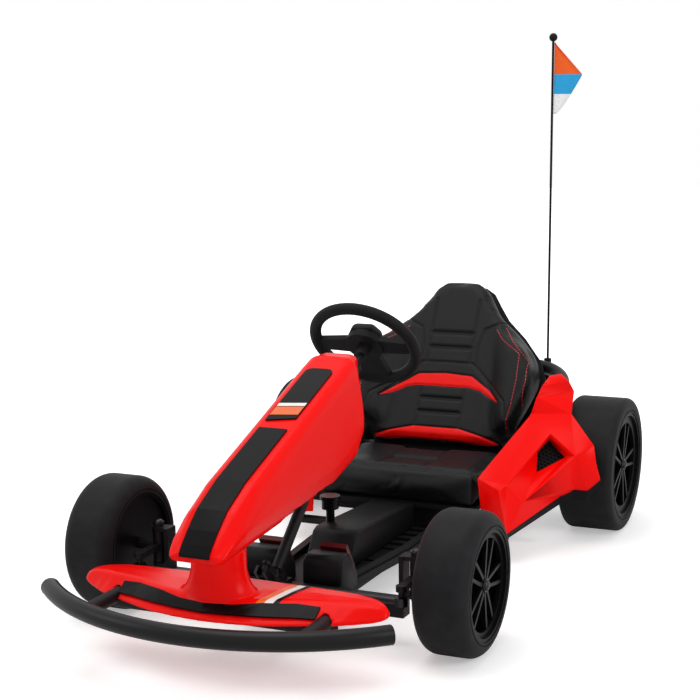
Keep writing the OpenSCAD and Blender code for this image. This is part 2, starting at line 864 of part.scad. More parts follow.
// The outer form, grown by a gap where a neighbour is cut to fit it.
module nose_body(grow) {
    skin([for (s = NOSE) nose_ring(s, front_y + s[0], -grow, grow)]);
}

module nose_cone() {
    floor_end = -97;
    mouth = [270, 20, 425, 64, 400, 61, 300];
    color(red) difference() {
        nose_body(0);
        skin([
            nose_ring(NOSE[3], front_y + NOSE[3][0] + 8, nose_wall, -nose_wall),
            nose_ring(NOSE[4], front_y + NOSE[4][0], nose_wall, -nose_wall),
            nose_ring(NOSE[4], front_y + floor_end, nose_wall, -nose_wall - 6),
            nose_ring(NOSE[4], front_y + floor_end + 2, nose_wall, 30),
            nose_ring(NOSE[5], front_y + NOSE[5][0], nose_wall, 30),
            nose_ring(NOSE[6], front_y + NOSE[6][0], nose_wall, 30),
            nose_ring(NOSE[7], front_y + NOSE[7][0], nose_wall, 30),
            nose_ring(NOSE[8], front_y + NOSE[8][0] + 1, nose_wall, 30),
            nose_ring(mouth, front_y + mouth[0], nose_wall, 30)
        ]);
    }
}

// Puts a flat shape on the nose cone's sloping top, +Y up the slope.
module on_nose(lift) {
    translate([0, nose_top_y, nose_front_z]) rotate([nose_slope, 0, 0])
        translate([0, 0, lift]) children();
}

panel_half_w = 26;
panel_len = 282;
plate_start = 306;
plate_len = 176;
trim_t = 2.5;

// Side view of the nose cone's roof from its tip to the panel's upper end.
module roof_side(grow) {
    panel_end = nose_top_y + panel_len * cos(nose_slope);
    offset(delta = grow) polygon(concat(
        [for (s = NOSE) if (front_y + s[0] < panel_end)
            [front_y + s[0], s[2] == 0 ? nose_roof(front_y + s[0]) : s[2]]],
        [[panel_end + 20, nose_roof(panel_end + 20)], [panel_end + 20, 150], [front_y + NOSE[0][0], 150]]
    ));
}

// Gloss panel down the middle of the nose cone and over its front edge.
module nose_panel() {
    panel_low = 207;
    panel_end = nose_top_y + panel_len * cos(nose_slope);
    color(gloss_black) translate([-panel_half_w, 0, 0]) rotate([90, 0, 90])
        linear_extrude(2 * panel_half_w) intersection() {
            difference() {
                roof_side(seat_gap + trim_t);
                roof_side(seat_gap);
            }
            translate([front_y + NOSE[0][0] - 10, panel_low])
                square([panel_end - front_y - NOSE[0][0] + 10, 300]);
        }
}

// Blank number plate with a rounded head.
module number_plate() {
    color(gloss_black) on_nose(seat_gap) linear_extrude(trim_t) union() {
        polygon([
            [-panel_half_w, plate_start], [panel_half_w, plate_start + 12],
            [panel_half_w, plate_start + plate_len - 14],
            [-panel_half_w, plate_start + plate_len - 14]
        ]);
        translate([-panel_half_w + 14, plate_start + plate_len - 28])
            square([2 * panel_half_w - 28, 28]);
        for (s = [-1, 1])
            translate([s * (panel_half_w - 14), plate_start + plate_len - 14]) circle(14);
    }
}

/* Seat. The back is drawn in its own frame: +Z up the back, +Y through it to the rear. */

shell_t = 8;
back_y = rear_y - 114.5;
back_z = seat_bottom_z + 78;
back_len = 368;

module on_back() {
    translate([0, back_y, back_z]) rotate([-back_lean, 0, 0]) children();
}

// Draws a flat outline, X across and Y up the back, from depth y0 over thickness t.
module back_slab(y0, t) {
    translate([0, y0 + t, 0]) rotate([90, 0, 0]) linear_extrude(t) children();
}

// Half outline of the back: half width and height up the back.
BACK = [
    [150, 0], [176, 70], [200, 140], [202, 168], [186, 206], [143, 256], [99, 296],
    [74, 330], [57, 355], [36, 368]
];

module back_outline(grow, foot) {
    right = concat(
        foot < 0 ? [[BACK[0].x + grow, foot]] : [],
        [for (p = BACK) [p.x + grow, p.y > 0 ? p.y + grow / 2 : 0]]
    );
    left = [for (i = [len(right) - 1 : -1 : 0]) [-right[i].x, right[i].y]];
    polygon(concat(right, left));
}

module seat_shell() {
    lip = 4;
    foot = -(back_z - seat_bottom_z + shell_t / 2) / cos(back_lean) - 10;
    color(black) difference() {
        union() {
            on_back() back_slab(back_t + seat_gap, shell_t) back_outline(lip, foot);
            translate([-seat_half_w - lip, seat_front_y, seat_bottom_z - shell_t])
                cube([2 * (seat_half_w + lip), back_y - seat_front_y + 30, shell_t]);
        }
        translate([-300, seat_front_y - 10, seat_bottom_z - shell_t - 60])
            cube([600, 400, 60]);
    }
}

module seat_cushion() {
    color(black) translate([-seat_half_w, 0, 0]) rotate([90, 0, 90])
        linear_extrude(2 * seat_half_w) polygon([
            [seat_front_y, seat_bottom_z + seat_gap],
            [seat_front_y - 2, seat_front_z - 14],
            [seat_front_y + 3, seat_front_z - 4],
            [seat_front_y + 12, seat_front_z],
            [seat_front_y + 95, seat_front_z - 7],
            [back_y - 8, back_z - 8],
            [back_y - 8, seat_bottom_z + seat_gap]
        ]);
}

module seat_back() {
    color(black) on_back() back_slab(0, back_t) back_outline(0, 0);
}

// Side bolsters: a wide root on the back and a narrow crest towards the driver.
module seat_wings() {
    crest_t = 2;
    color(black) on_back() for (s = [-1, 1])
        hull() {
            back_slab(-crest_t - seat_gap, crest_t) polygon([
                [s * 118, 36], [s * 160, 14], [s * 196, 118], [s * 198, 166],
                [s * 150, 238], [s * 104, 270], [s * 96, 262], [s * 118, 150]
            ]);
            back_slab(-bolster, crest_t) polygon([
                [s * 160, 40], [s * 192, 118], [s * 196, 160], [s * 172, 204],
                [s * 158, 196], [s * 158, 110]
            ]);
        }
}

/* Side pods: moulded shells that flare out in front of the rear wheels. */

POD_X = 240;
pod_y = rear_y - 341.5;
pod_z = 64;
pod_tilt = 45.5;
pod_turn = -56.6;
pod_wall = 6;

// Corners of a pod from its lower front corner: seat edge, front, peak, flare, recess.
POD = [
    [-64, 12, 104], [-54, 18, 2], [-16, -1, 86], [0, 0, 0],
    [-22, 215, 195], [-12, 219, 229], [-4, 232, 253], [3, 259, 269],
    [22, 277, 271], [40, 272, 258], [48, 285, 236], [58, 234, 198],
    [119, 187, 146], [125, 184, 112], [135, 182, 79], [110, 177, 55],
    [82, 177, 55], [60, 172, 43],
    [-14, 41, 86], [15, 52, 53], [86, 167, 125], [29, 185, 163],
    [22, 198, 150], [61, 187, 119], [18, 131, 96], [9, 166, 130]
];
POD_FACES = [
    [0, 2, 3], [0, 3, 1],
    [0, 4, 18], [0, 18, 2], [4, 21, 18], [4, 11, 21], [11, 12, 20], [11, 20, 21],
    [12, 13, 20], [13, 14, 20], [20, 14, 15], [20, 15, 16], [20, 16, 19], [19, 16, 17],
    [19, 17, 3], [18, 19, 3], [2, 18, 3],
    [4, 5, 11], [5, 10, 11], [5, 6, 10], [6, 9, 10], [6, 7, 9], [7, 8, 9],
    [18, 21, 25], [21, 22, 25], [21, 20, 22], [20, 23, 22], [20, 19, 23], [19, 24, 23],
    [19, 18, 24], [18, 25, 24]
];
POD_RIM = [0, 4, 5, 6, 7, 8, 9, 10, 11, 12, 13, 14, 15, 16, 17, 3, 1];
POD_HOLE = [22, 25, 24, 23];
POD_FOOT = [14, 15, 16, 17, 3];

function pod_point(i) = [POD_X, pod_y, pod_z] + POD[i];
pod_inward = -pod_wall * [
    sin(pod_tilt) * cos(pod_turn), sin(pod_tilt) * sin(pod_turn), cos(pod_tilt)
];

// Walls that close a shell along one loop of its corners.
function rim_faces(loop, n) = [
    for (k = [0 : len(loop) - 1])
        let (a = loop[k], b = loop[(k + 1) % len(loop)])
            each [[b, a, a + n], [b, a + n, b + n]]
];

module side_pod(side) {
    n = len(POD);
    outer = [for (i = [0 : n - 1]) pod_point(i)];
    inner = [for (p = outer) p + pod_inward];
    color(red) on_side(side) polyhedron(
        points = concat(outer, inner),
        faces = concat(
            POD_FACES,
            [for (f = POD_FACES) [f[2] + n, f[1] + n, f[0] + n]],
            rim_faces(POD_RIM, n),
            rim_faces(POD_HOLE, n)
        ),
        convexity = 8
    );
}

// A point in the flat frame of the pod's opening.
function in_pod_plane(i) =
    let (
        q = POD[i],
        a = q.x * cos(pod_turn) + q.y * sin(pod_turn),
        b = q.y * cos(pod_turn) - q.x * sin(pod_turn)
    )
    [a * cos(pod_tilt) - q.z * sin(pod_tilt), b, a * sin(pod_tilt) + q.z * cos(pod_tilt)];

// Honeycomb grille behind each pod's opening.
module pod_grilles() {
    corners = [for (i = POD_HOLE) in_pod_plane(i)];
    middle = (corners[0] + corners[1] + corners[2] + corners[3]) / 4;
    floor_w = min([for (c = corners) c.z]) - pod_wall - seat_gap;
    grille_t = 3;
    cell = 9;
    color(black) for (side = [-1, 1])
        on_side(side) translate([POD_X, pod_y, pod_z]) rotate([0, pod_tilt, pod_turn])
            translate([middle.x, middle.y, floor_w - grille_t])
                linear_extrude(grille_t) difference() {
                    scale([1.16, 1.16]) opening_shape(corners, middle);
                    intersection() {
                        scale([0.97, 0.97]) opening_shape(corners, middle);
                        honeycomb(cell, 5);
                    }
                }
}

module opening_shape(corners, middle) {
    polygon([for (c = corners) [c.x - middle.x, c.y - middle.y]]);
}

module honeycomb(cell, reach) {
    bar = 1.8;
    for (i = [-reach : reach], j = [-reach : reach])
        translate([cell * (i + (j % 2 == 0 ? 0 : 0.5)), cell * j * sin(60)])
            rotate(30) circle(r = (cell - bar) / 2 / cos(30), $fn = 6);
}

// Dark lower moulding under each pod.
module pod_skirts() {
    drop = [10, 17, 17, 15, 9];
    color(black) for (side = [-1, 1])
        on_side(side) skin([
            for (k = [0 : len(POD_FOOT) - 1])
                let (
                    p = pod_point(POD_FOOT[k]) - [0, 0, seat_gap + 0.1],
                    q = p + pod_inward
                )
                [p, q, q - [2, 0, drop[k]], p - [4, -2, drop[k]]]
        ]);
}

/* Hoop behind the seat, and the flag. */

hoop_fall = 16.7;
hoop_half_w = 250 - hoop_bend;

module at_hoop() {
    translate([0, hoop_y, hoop_z]) rotate([hoop_fall, 0, 0]) children();
}

module hoop_tube(r) {
    leg = 22;
    at_hoop() {
        translate([-hoop_half_w, 0, 0]) along_x() cylinder(r = r, h = 2 * hoop_half_w);
        for (side = [-1, 1])
            on_side(side) translate([hoop_half_w, -hoop_bend, 0]) {
                rotate_extrude(angle = 90, $fn = 96) translate([hoop_bend, 0]) circle(r, $fn = 32);
                translate([hoop_bend, -leg, 0]) along_y() cylinder(r = r, h = leg);
            }
    }
}

// The hoop, its two stays down to the frame, and a boss behind the peak of each pod.
module rear_hoop() {
    boss_len = 31.8;
    color(black) {
        hoop_tube(hoop_r);
        for (s = [-1, 1])
            translate([s * stay_x, hoop_y, rail_top_z + seat_gap])
                cylinder(r = stay_r, h = hoop_z - rail_top_z - seat_gap);
        for (side = [-1, 1])
            on_side(side) translate([250, hoop_y - 120, hoop_z - 36])
                rotate([0, pod_tilt, pod_turn]) cylinder(r = 8, h = boss_len);
    }
}

pole_x = 187;
pole_y = hoop_y + 15;
socket_bottom_z = hoop_z - 42;
socket_h = 56;

module flag_socket() {
    socket_r = 8;
    color(black) difference() {
        union() {
            translate([pole_x, pole_y, socket_bottom_z]) cylinder(r = socket_r, h = socket_h);
            translate([pole_x - 7, pole_y - 34, hoop_z - 8]) cube([14, 30, 12]);
        }
        hoop_tube(hoop_r + seat_gap);
        translate([pole_x - 20, hoop_y - 60, hoop_z - 30]) cube([40, 50, 60]);
        translate([pole_x, pole_y, socket_bottom_z + 4])
            cylinder(r = pole_r + seat_gap, h = socket_h);
    }
}

ball_r = 8.5;

module flag_pole() {
    color(black) {
        translate([pole_x, pole_y, socket_bottom_z + 4 + seat_gap])
            cylinder(r = pole_r, h = pole_top_z - ball_r - socket_bottom_z - 4 - seat_gap);
        translate([pole_x, pole_y, pole_top_z - ball_r]) sphere(ball_r);
    }
}

hoist = 142;
fly = 60;

// Pennant flag, a closed solid where the cloth hangs.
module flag() {
    cloth = 2;
    top_z = pole_top_z - 19;
    color("orange") translate([pole_x, pole_y, 0]) rotate([0, 0, 18])
        translate([pole_r + seat_gap, cloth / 2, 0]) rotate([90, 0, 0])
            linear_extrude(cloth) polygon([
                [0, top_z], [0, top_z - hoist], [18, top_z - hoist + 28],
                [fly, top_z - 62], [fly - 6, top_z - 52]
            ]);
}

bumper_bar();
front_subframe();
front_wing();
wing_strip();
nose_cone();
nose_panel();
number_plate();
steering_rim();
steering_pad();
steering_shaft();
column_jacket();
track_rod();
front_beam();
knuckle(1);  // knuckle_left
knuckle(-1);  // knuckle_right
front_tyre(1);  // front_tyre_left
front_tyre(-1);  // front_tyre_right
front_rim(1);  // front_rim_left
front_rim(-1);  // front_rim_right
rear_tyre(1);  // rear_tyre_left
rear_tyre(-1);  // rear_tyre_right
rear_rim(1);  // rear_rim_left
rear_rim(-1);  // rear_rim_right
rear_axle();
drive_units();
frame_rails();
floor_pan();
battery_box();
console();
selector_knob();
pedal_housings();
pedals();
seat_shell();
seat_cushion();
seat_back();
seat_wings();
side_pod(1);  // side_pod_left
side_pod(-1);  // side_pod_right
pod_grilles();
pod_skirts();
rear_hoop();
flag_socket();
flag_pole();
flag();
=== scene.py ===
# %% [markdown]
# # A child's electric drift kart
#
# The kart's rigid parts come ready-made from a CAD model: frame, steering, wheels and mouldings,
# all at their real size. This lesson dresses them. It gives every surface its real finish, rounds
# the moulded edges that CAD leaves sharp, and models the padded seat and the flag, because no
# rigid solid can show sewn or hanging cloth.

# %% Load the kart
import math

import bmesh
import bpy
import numpy as np
from mathutils import Matrix, Vector
from mathutils.bvhtree import BVHTree


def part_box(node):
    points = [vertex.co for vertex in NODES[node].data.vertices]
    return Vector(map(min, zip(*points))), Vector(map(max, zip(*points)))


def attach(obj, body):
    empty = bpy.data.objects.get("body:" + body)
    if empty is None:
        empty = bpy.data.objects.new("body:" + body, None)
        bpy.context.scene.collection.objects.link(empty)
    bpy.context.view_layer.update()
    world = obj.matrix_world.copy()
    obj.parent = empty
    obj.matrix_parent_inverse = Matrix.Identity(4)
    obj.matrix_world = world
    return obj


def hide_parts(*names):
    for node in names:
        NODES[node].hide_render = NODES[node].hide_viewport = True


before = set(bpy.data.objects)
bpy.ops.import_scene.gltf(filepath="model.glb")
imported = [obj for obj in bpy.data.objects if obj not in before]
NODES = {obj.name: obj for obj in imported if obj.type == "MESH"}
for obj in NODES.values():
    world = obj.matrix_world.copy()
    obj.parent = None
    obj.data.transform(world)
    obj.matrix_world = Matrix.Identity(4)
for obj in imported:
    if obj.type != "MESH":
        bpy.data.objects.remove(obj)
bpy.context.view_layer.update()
MM = 0.001
print("CAD nodes:", len(NODES))

# %% [markdown]
# Two points of the kart serve as landmarks. The wheels' centres are read from the CAD boxes, so
# a piece that belongs to an axle follows it, and only sizes that the boxes can't tell are typed in.

# %% Landmarks
def middle_of(node):
    """Centre of a CAD node's box, in metres."""
    low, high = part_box(node)
    return (Vector(low) + Vector(high)) / 2


FRONT_WHEEL = middle_of("front_tyre_left")
REAR_WHEEL = middle_of("rear_tyre_left")
FRONT_Y = FRONT_WHEEL.y / MM
REAR_Y = REAR_WHEEL.y / MM
print("front axle y", round(FRONT_Y, 1), "mm, rear axle y", round(REAR_Y, 1), "mm")

# %% [markdown]
# ## Camera
#
# The camera repeats the photographer's place: 2.8 m in front of the seat on the driver's left, at
# a child's eye height, with a long lens. A small lens shift frames the flag without tilting the
# camera, just as a view camera would, so upright lines stay upright.

# %% The camera
CAMERA_PLACE = Vector((1.1118, -2.4312, 0.8600))
CAMERA_YAW = math.radians(24.38)
CAMERA_PITCH = math.radians(13.55)
CAMERA_ROLL = math.radians(-0.76)
CAMERA_LENS = 76.05

back = Vector((
    math.sin(CAMERA_YAW) * math.cos(CAMERA_PITCH),
    -math.cos(CAMERA_YAW) * math.cos(CAMERA_PITCH),
    math.sin(CAMERA_PITCH),
))
level_right = Vector((math.cos(CAMERA_YAW), math.sin(CAMERA_YAW), 0))
level_up = back.cross(level_right)
right = math.cos(CAMERA_ROLL) * level_right + math.sin(CAMERA_ROLL) * level_up
up = back.cross(right)

camera_data = bpy.data.cameras.new("camera")
camera_data.lens = CAMERA_LENS
camera_data.shift_x = -0.0098
camera_data.shift_y = 0.1697
camera = bpy.data.objects.new("camera", camera_data)
camera.matrix_world = Matrix.Translation(CAMERA_PLACE) @ Matrix((right, up, back)).transposed().to_4x4()
bpy.context.scene.collection.objects.link(camera)
bpy.context.scene.camera = camera
print("camera at", tuple(round(c, 3) for c in CAMERA_PLACE))

# %% [markdown]
# ## One helper for materials
#
# Every finish is a small network of nodes. One function adds a node, sets its settings and fills
# its inputs, each with a plain value or with a link from another node. Colours are written as the
# sRGB hex codes that a paint chart gives, and turned to the linear values that light adds up in.

# %% Colour and node helpers
def linear(code):
    """An sRGB hex colour as linear red, green, blue and alpha."""
    parts = [int(code[i:i + 2], 16) / 255 for i in (0, 2, 4)]
    return [c / 12.92 if c <= 0.04045 else ((c + 0.055) / 1.055) ** 2.4 for c in parts] + [1.0]


def add(tree, kind, inputs=None, **settings):
    """Adds a node, sets its settings and fills each named input with a value or a link."""
    node = tree.nodes.new(kind)
    for name, value in settings.items():
        setattr(node, name, value)
    for name, value in (inputs or {}).items():
        if isinstance(value, bpy.types.NodeSocket):
            tree.links.new(value, node.inputs[name])
        else:
            node.inputs[name].default_value = value
    return node


def start_material(name, colour, **shader_values):
    """A material with its shader's own values set. Returns it with its tree, shader and coordinates."""
    material = bpy.data.materials.new(name)
    material.use_nodes = True
    tree = material.node_tree
    shader = tree.nodes["Principled BSDF"]
    shader.inputs["Base Color"].default_value = linear(colour)
    for socket, value in shader_values.items():
        shader.inputs[socket.replace("_", " ")].default_value = value
    place = add(tree, "ShaderNodeTexCoord").outputs["Object"]
    return material, tree, shader, place


def per_metre(size_mm):
    """Texture scale at which one cell of a pattern is size_mm wide."""
    return 1 / (size_mm * MM)


print("white is", linear("FFFFFF"))

# %% [markdown]
# ## Studio light
#
# The background is white paper, and the light comes from large soft boxes, so the kart has broad
# pale highlights and one soft shadow. The floor takes the shadow, and the world is plain white
# where the camera or a glossy reflection looks at it.

# %% Studio
world = bpy.data.worlds.new("studio")
bpy.context.scene.world = world
world.use_nodes = True
world_tree = world.node_tree
world_light = world_tree.nodes["Background"]
path = add(world_tree, "ShaderNodeLightPath")
seen = add(world_tree, "ShaderNodeMath", {0: path.outputs["Is Camera Ray"], 1: path.outputs["Is Glossy Ray"]},
           operation="MAXIMUM")
seen = add(world_tree, "ShaderNodeMath", {0: seen.outputs[0], 1: path.outputs["Is Transmission Ray"]},
           operation="MAXIMUM")
strength = add(world_tree, "ShaderNodeMapRange", {"Value": seen.outputs[0], "To Min": 0.5, "To Max": 1.0})
world_tree.links.new(strength.outputs[0], world_light.inputs["Strength"])
world_light.inputs["Color"].default_value = (1, 1, 1, 1)


def soft_box(name, place, size, power, aim=Vector((0, 0, 0.2))):
    """A square area lamp at place, turned towards aim."""
    data = bpy.data.lights.new(name, "AREA")
    data.size = size
    data.energy = power
    lamp = bpy.data.objects.new(name, data)
    lamp.location = place
    lamp.rotation_euler = (aim - Vector(place)).to_track_quat("-Z", "Y").to_euler()
    bpy.context.scene.collection.objects.link(lamp)


soft_box("overhead_box", (-0.4, -0.3, 3.2), 2.4, 40)
soft_box("right_hand_box", (-2.8, -1.8, 1.9), 1.4, 13)
soft_box("left_hand_box", (2.6, -1.0, 1.6), 1.2, 22)

floor_mesh = bpy.data.meshes.new("floor")
floor_bm = bmesh.new()
bmesh.ops.create_grid(floor_bm, x_segments=1, y_segments=1, size=14)
floor_bm.to_mesh(floor_mesh)
floor_bm.free()
floor = bpy.data.objects.new("floor", floor_mesh)
bpy.context.scene.collection.objects.link(floor)
paper, paper_tree, paper_shader, paper_place = start_material("white_paper", "FAFAFA", Roughness=0.9, Specular_IOR_Level=0.1)
floor_path = add(paper_tree, "ShaderNodeLightPath")
from_kart = add(paper_tree, "ShaderNodeVectorMath", {0: paper_place}, operation="LENGTH")
lift = add(paper_tree, "ShaderNodeMapRange", {
    "Value": from_kart.outputs["Value"], "From Min": 0.5, "From Max": 2.6, "To Min": 0.36, "To Max": 1.0})
lift = add(paper_tree, "ShaderNodeMath", {0: floor_path.outputs["Is Camera Ray"], 1: lift.outputs[0]},
           operation="MULTIPLY")
paper_shader.inputs["Emission Color"].default_value = (1, 1, 1, 1)
paper_tree.links.new(lift.outputs[0], paper_shader.inputs["Emission Strength"])
floor_mesh.materials.append(paper)
bpy.context.scene.view_settings.view_transform = "Standard"
print("studio ready")

# %% [markdown]
# ## Moulded plastics
#
# The red and gloss black body parts are ABS, injection-moulded in polished tools: a deep colour
# with a faint waviness from shrinkage some 30 mm across. The floor tray and
# covers are polypropylene from an etched tool. Its grain is about 0.6 mm wide, too fine to show
# here, so it is drawn at 1.4 mm.

# %% Gloss and grained plastics
def polished_abs(name, colour, roughness):
    """Moulded ABS from a polished tool: smooth, with slight waviness and uneven gloss."""
    material, tree, shader, place = start_material(
        name, colour, Roughness=roughness, Specular_IOR_Level=0.1)
    wave = add(tree, "ShaderNodeTexNoise", {"Vector": place, "Scale": per_metre(30), "Detail": 1.0})
    bump = add(tree, "ShaderNodeBump", {"Height": wave.outputs["Fac"], "Strength": 0.06, "Distance": 0.001})
    tree.links.new(bump.outputs["Normal"], shader.inputs["Normal"])
    smear = add(tree, "ShaderNodeTexNoise", {"Vector": place, "Scale": per_metre(70), "Detail": 4.0})
    spread = add(tree, "ShaderNodeMapRange", {
        "Value": smear.outputs["Fac"], "To Min": roughness * 0.8, "To Max": roughness * 1.25})
    tree.links.new(spread.outputs[0], shader.inputs["Roughness"])
    return material


def grained_plastic(name, colour, grain_mm, roughness=0.5):
    """Matt moulded plastic from an etched tool: fine pebbled grain."""
    material, tree, shader, place = start_material(
        name, colour, Roughness=roughness, Specular_IOR_Level=0.12)
    grain = add(tree, "ShaderNodeTexVoronoi", {"Vector": place, "Scale": per_metre(grain_mm)})
    bump = add(tree, "ShaderNodeBump", {"Height": grain.outputs["Distance"], "Strength": 0.3, "Distance": 0.0003})
    tree.links.new(bump.outputs["Normal"], shader.inputs["Normal"])
    cloud = add(tree, "ShaderNodeTexNoise", {"Vector": place, "Scale": per_metre(45), "Detail": 3.0})
    shade = add(tree, "ShaderNodeValToRGB", {"Fac": cloud.outputs["Fac"]})
    dark, pale = shade.color_ramp.elements
    base = linear(colour)
    dark.position, pale.position = 0.3, 0.75
    dark.color = [c * 0.85 for c in base[:3]] + [1]
    pale.color = [c * 1.15 for c in base[:3]] + [1]
    tree.links.new(shade.outputs["Color"], shader.inputs["Base Color"])
    return material


RED_ABS = polished_abs("red_polished_abs", "FA0A06", 0.24)
BLACK_ABS = polished_abs("black_polished_abs", "08080A", 0.2)
RIM_ABS = polished_abs("black_satin_abs", "0D0D0F", 0.36)
TRAY_PLASTIC = grained_plastic("black_grained_polypropylene", "101012", 1.4)
COVER_PLASTIC = grained_plastic("black_textured_abs", "121214", 1.0, 0.44)
print("plastics:", RED_ABS.name, BLACK_ABS.name, TRAY_PLASTIC.name)

# %% [markdown]
# ## Metals, tyres and trim
#
# The tubes are mild steel with a satin powder coat, which cures to a fine orange peel about 2 mm
# across. Pins and rods are zinc plated: a pale metal with drawn streaks. The tyres are foamed EVA,
# as on most ride-ons: dead matt, dark grey, with a soft sheen at a glancing angle and light scuffs
# on the tread.

# %% Powder coat, zinc and tyre foam
def powder_coat(name, colour, roughness=0.36):
    """Cured powder on steel tube: satin with orange peel."""
    material, tree, shader, place = start_material(name, colour, Roughness=roughness, Specular_IOR_Level=0.2)
    peel = add(tree, "ShaderNodeTexNoise", {"Vector": place, "Scale": per_metre(2.2), "Detail": 2.0})
    bump = add(tree, "ShaderNodeBump", {"Height": peel.outputs["Fac"], "Strength": 0.25, "Distance": 0.0003})
    tree.links.new(bump.outputs["Normal"], shader.inputs["Normal"])
    return material


def zinc_plate(name, colour):
    """Zinc-plated drawn steel: bright, with streaks along X as the rods are drawn."""
    material, tree, shader, place = start_material(name, colour, Metallic=1.0, Roughness=0.32)
    stretch = add(tree, "ShaderNodeMapping", {"Vector": place, "Scale": (0.05, 1, 1)})
    streak = add(tree, "ShaderNodeTexNoise", {
        "Vector": stretch.outputs[0], "Scale": per_metre(1.2), "Detail": 3.0})
    spread = add(tree, "ShaderNodeMapRange", {"Value": streak.outputs["Fac"], "To Min": 0.22, "To Max": 0.46})
    tree.links.new(spread.outputs[0], shader.inputs["Roughness"])
    return material


def tyre_foam(name, colour):
    """Moulded EVA foam: matt, finely pitted, scuffed a shade paler in patches."""
    material, tree, shader, place = start_material(
        name, colour, Roughness=0.62, Specular_IOR_Level=0.14, Sheen_Weight=0.02, Sheen_Roughness=0.5)
    pits = add(tree, "ShaderNodeTexNoise", {"Vector": place, "Scale": per_metre(1.6), "Detail": 4.0})
    bump = add(tree, "ShaderNodeBump", {"Height": pits.outputs["Fac"], "Strength": 0.22, "Distance": 0.0005})
    tree.links.new(bump.outputs["Normal"], shader.inputs["Normal"])
    scuff = add(tree, "ShaderNodeTexNoise", {"Vector": place, "Scale": per_metre(26), "Detail": 6.0})
    shade = add(tree, "ShaderNodeValToRGB", {"Fac": scuff.outputs["Fac"]})
    dark, pale = shade.color_ramp.elements
    base = linear(colour)
    dark.position, pale.position = 0.38, 0.82
    dark.color = base
    pale.color = [c * 1.7 for c in base[:3]] + [1]
    tree.links.new(shade.outputs["Color"], shader.inputs["Base Color"])
    return material


TUBE_COAT = powder_coat("black_satin_powder_coat", "0C0C0E")
FRAME_COAT = powder_coat("black_matt_powder_coat", "101012", 0.5)
PEDAL_COAT = powder_coat("dark_red_powder_coat", "5A1517", 0.4)
ZINC = zinc_plate("zinc_plated_steel", "9C9EA2")
BLACK_ZINC = zinc_plate("black_zinc_plated_steel", "37373A")
CHROME = zinc_plate("bright_chrome", "E6E7E8")
TYRE_FOAM = tyre_foam("black_eva_foam", "161618")
GRIP_FOAM = tyre_foam("black_grip_foam", "0F0F10")
print("metals and foam ready")

# %% [markdown]
# ## Cloth, vinyl and leatherette
#
# The seat is leatherette: PVC embossed with a leather grain of about 1.5 mm, sewn with red
# polyester thread. The flag is printed polyester with a plain weave. Its threads are 0.3 mm, so
# they are drawn at 1.5 mm to show at all. The stripes on the bodywork are cut vinyl film.

# %% Leatherette, thread, flag cloth and vinyl
def leatherette(name, colour, stripe_colour):
    """Embossed PVC: pebbles with creases between them. A mask on the mesh says where it is the stripe's."""
    material, tree, shader, place = start_material(
        name, colour, Roughness=0.4, Specular_IOR_Level=0.18, Sheen_Weight=0.01)
    grain = add(tree, "ShaderNodeTexVoronoi", {"Vector": place, "Scale": per_metre(2.0)},
                feature="DISTANCE_TO_EDGE")
    crease = add(tree, "ShaderNodeMapRange", {"Value": grain.outputs["Distance"], "From Max": 0.12})
    drape = add(tree, "ShaderNodeTexNoise", {"Vector": place, "Scale": per_metre(34), "Detail": 2.0})
    height = add(tree, "ShaderNodeMath", {0: drape.outputs["Fac"], 1: 3.0, 2: crease.outputs[0]},
                 operation="MULTIPLY_ADD")
    bump = add(tree, "ShaderNodeBump", {"Height": height.outputs[0], "Strength": 0.3, "Distance": 0.0004})
    tree.links.new(bump.outputs["Normal"], shader.inputs["Normal"])
    mask = add(tree, "ShaderNodeAttribute", attribute_name="stripe")
    edge = add(tree, "ShaderNodeMapRange", {"Value": mask.outputs["Fac"], "From Min": 0.45, "From Max": 0.55})
    dye = add(tree, "ShaderNodeValToRGB", {"Fac": edge.outputs[0]})
    dye.color_ramp.elements[0].color = linear(colour)
    dye.color_ramp.elements[1].color = linear(stripe_colour)
    tree.links.new(dye.outputs["Color"], shader.inputs["Base Color"])
    return material


def vinyl(name, colour):
    """Cut vinyl film: flat colour, semi-gloss, with a faint stipple from the adhesive below."""
    material, tree, shader, place = start_material(name, colour, Roughness=0.3)
    stipple = add(tree, "ShaderNodeTexNoise", {"Vector": place, "Scale": per_metre(3), "Detail": 2.0})
    bump = add(tree, "ShaderNodeBump", {"Height": stipple.outputs["Fac"], "Strength": 0.06, "Distance": 0.0002})
    tree.links.new(bump.outputs["Normal"], shader.inputs["Normal"])
    return material


def woven_cloth(name, colour, thread_mm=1.5):
    """Plain-weave printed polyester: two crossed sets of threads."""
    material, tree, shader, place = start_material(
        name, colour, Roughness=0.75, Specular_IOR_Level=0.2, Sheen_Weight=0.25)
    turned = add(tree, "ShaderNodeMapping", {"Vector": place, "Rotation": (0, 0, math.radians(18))})
    threads = [
        add(tree, "ShaderNodeTexWave", {"Vector": turned.outputs[0], "Scale": per_metre(thread_mm) / 20},
            bands_direction=direction)
        for direction in ("X", "Z")
    ]
    weave = add(tree, "ShaderNodeMath", {0: threads[0].outputs["Fac"], 1: threads[1].outputs["Fac"]},
                operation="MULTIPLY")
    bump = add(tree, "ShaderNodeBump", {"Height": weave.outputs[0], "Strength": 0.35, "Distance": 0.0004})
    tree.links.new(bump.outputs["Normal"], shader.inputs["Normal"])
    return material


